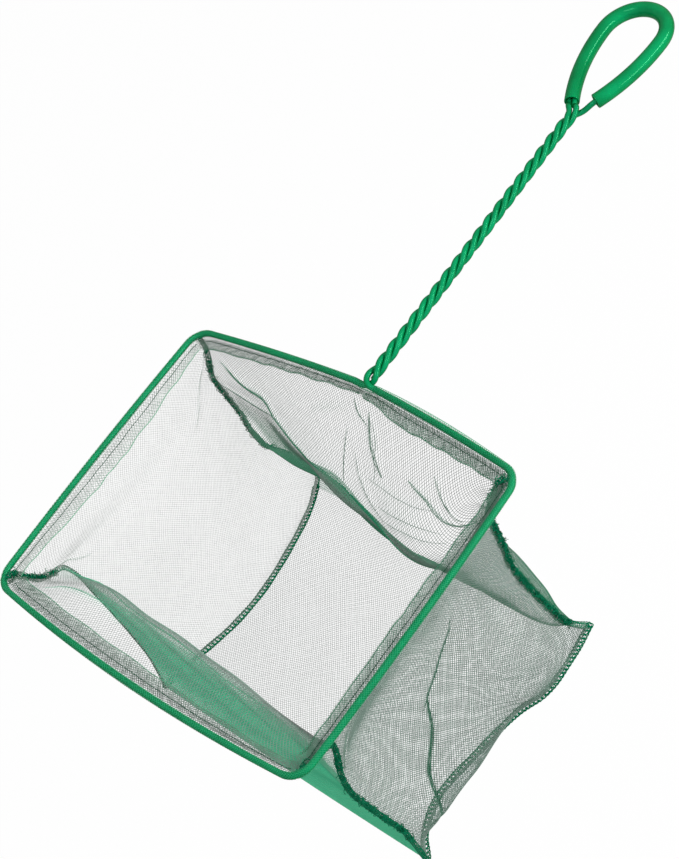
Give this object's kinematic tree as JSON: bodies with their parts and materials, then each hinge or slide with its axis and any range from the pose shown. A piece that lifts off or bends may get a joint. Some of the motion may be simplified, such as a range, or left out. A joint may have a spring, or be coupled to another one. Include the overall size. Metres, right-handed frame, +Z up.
{
  "type": "aquarium fish net",
  "caption": "Box-shaped knitted net bag hung from a rounded rectangular hoop of green vinyl-coated wire, whose twisted handle ends in a sleeved teardrop loop.",
  "frame": {"origin": "centre of the round top of the handle's loop, in the plane of the wire hoop", "axes": "+Z up out of the bag's mouth, square to the hoop; +Y along the handle, away from the bag"},
  "size_m": [0.262, 0.5034, 0.1646],
  "materials": {
    "vinyl_coat": "dipped vinyl, half gloss",
    "steel_core": "drawn steel wire",
    "sleeve": "clear-tinted soft vinyl, gloss",
    "hem": "net folded double and sewn",
    "net": "fine knitted net",
    "seam_thread": "overlocked thread"
  },
  "bodies": {
    "frame": {"hoop_coating": "vinyl_coat", "strand_left_coating": "vinyl_coat", "strand_right_coating": "vinyl_coat", "loop_coating": "vinyl_coat", "hoop_core": "steel_core", "strand_left_core": "steel_core", "strand_right_core": "steel_core", "loop_core": "steel_core", "grip_sleeve": "sleeve", "hem_near_left": "hem", "hem_near_right": "hem", "hem_right": "hem", "hem_far": "hem", "hem_left": "hem", "wall_near": "net", "wall_far": "net", "panel_left": "net", "panel_right": "net", "hem_thread": "seam_thread", "corner_seam_near_right": "seam_thread", "corner_seam_far_right": "seam_thread", "corner_seam_far_left": "seam_thread", "corner_seam_near_left": "seam_thread"},
    "bag_floor": {"floor_net": "net", "floor_seam_left": "seam_thread", "floor_seam_right": "seam_thread"}
  },
  "joints": [
    {"name": "bag_collapse", "type": "slide", "parent": "frame", "child": "bag_floor", "axis": [0, 0, 1], "range_m": [0, 0.128], "deforming": ["wall_near", "wall_far", "panel_left", "panel_right", "corner_seam_near_right", "corner_seam_far_right", "corner_seam_far_left", "corner_seam_near_left"]}
  ]
}
